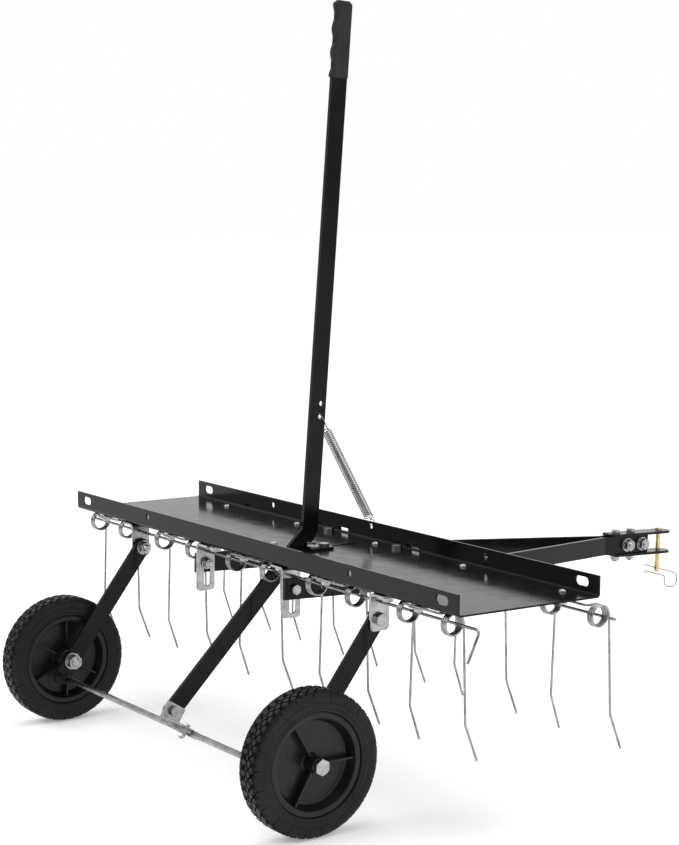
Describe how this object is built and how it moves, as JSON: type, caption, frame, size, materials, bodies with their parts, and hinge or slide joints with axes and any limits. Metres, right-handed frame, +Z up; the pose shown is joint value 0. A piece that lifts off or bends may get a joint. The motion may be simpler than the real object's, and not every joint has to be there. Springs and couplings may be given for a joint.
{
  "type": "lawn dethatcher",
  "caption": "Tow-behind lawn dethatcher: steel weight tray with rows of sprung wire tines, lever-lifted wheels and a V drawbar with a pin hitch",
  "frame": {"origin": "On the ground under the middle of the bounding box, tyres standing on z = 0", "axes": "+X to the right along the tray, +Y forward towards the hitch, +Z up"},
  "size_m": [1.026, 1.0362, 1.0508],
  "materials": {
    "black": "gloss black powder coat",
    "zinc": "bright zinc plate",
    "spring": "bare spring steel",
    "gold": "yellow zinc plate",
    "rubber": "matte black rubber",
    "tyre": "black tyre rubber",
    "rim": "black moulded plastic"
  },
  "bodies": {
    "tray": {"tray": "black", "rear_tine_1": "spring", "rear_tine_2": "spring", "rear_tine_3": "spring", "rear_tine_4": "spring", "rear_tine_5": "spring", "front_tine_1": "spring", "front_tine_2": "spring", "front_tine_3": "spring", "front_tine_4": "spring", "front_tine_5": "spring", "tine_clamps": "zinc", "front_packing": "zinc", "carriage_bolts": "zinc", "carriage_nuts": "zinc", "rear_rod": "spring", "front_rod": "spring", "left_wheel_bracket": "zinc", "right_wheel_bracket": "zinc", "left_rear_drawbar_bracket": "zinc", "right_rear_drawbar_bracket": "zinc", "left_front_drawbar_bracket": "zinc", "right_front_drawbar_bracket": "zinc", "bracket_bolts": "zinc", "bracket_nuts": "zinc", "latch_plate": "black", "latch_clip": "zinc", "latch_bolt": "zinc", "guide_strip": "zinc", "arm_pivot_bolts": "zinc", "arm_pivot_nuts": "zinc", "drawbar_pivot_bolts": "zinc", "drawbar_pivot_nuts": "zinc", "lift_spring": "spring"},
    "lift": {"lift_lever": "black", "grip": "rubber", "left_wheel_arm": "black", "right_wheel_arm": "black", "cross_rod": "spring", "rod_nuts": "zinc", "rod_bracket": "zinc", "rod_saddle": "zinc", "rod_bracket_bolt": "zinc", "rod_bolt": "zinc", "axle_bolts": "zinc", "axle_nuts": "zinc"},
    "left_wheel": {"left_rim": "rim", "left_tyre": "tyre"},
    "right_wheel": {"right_rim": "rim", "right_tyre": "tyre"},
    "drawbar": {"left_drawbar": "black", "right_drawbar": "black", "hitch_top_plate": "black", "hitch_bottom_plate": "black", "hitch_cross_bolts": "zinc", "hitch_clamp_bolts": "zinc", "slot_bolts": "zinc", "slot_nuts": "zinc"},
    "pin": {"hitch_pin": "gold"},
    "clip": {"hairpin_clip": "spring"}
  },
  "joints": [
    {"name": "lift", "type": "hinge", "parent": "tray", "child": "lift", "pos_m": [-0.023, -0.301, 0.25364], "axis": [1, 0, 0], "range_deg": [-40, 0], "deforming": ["lift_spring"]},
    {"name": "left_wheel_spin", "type": "hinge", "parent": "lift", "child": "left_wheel", "pos_m": [-0.3568, -0.42148, 0.093], "axis": [1, 0, 0], "continuous": true},
    {"name": "right_wheel_spin", "type": "hinge", "parent": "lift", "child": "right_wheel", "pos_m": [0.3108, -0.42148, 0.093], "axis": [1, 0, 0], "continuous": true},
    {"name": "drawbar", "type": "hinge", "parent": "tray", "child": "drawbar", "pos_m": [-0.028, -0.106, 0.24784], "axis": [1, 0, 0], "range_deg": [0, 8]},
    {"name": "pin_lift", "type": "slide", "parent": "drawbar", "child": "pin", "axis": [0, 0.0314, 0.9995], "range_m": [0, 0.017]},
    {"name": "clip_pull", "type": "slide", "parent": "pin", "child": "clip", "axis": [0, 0.9573, -0.289], "range_m": [0, 0.04]}
  ]
}
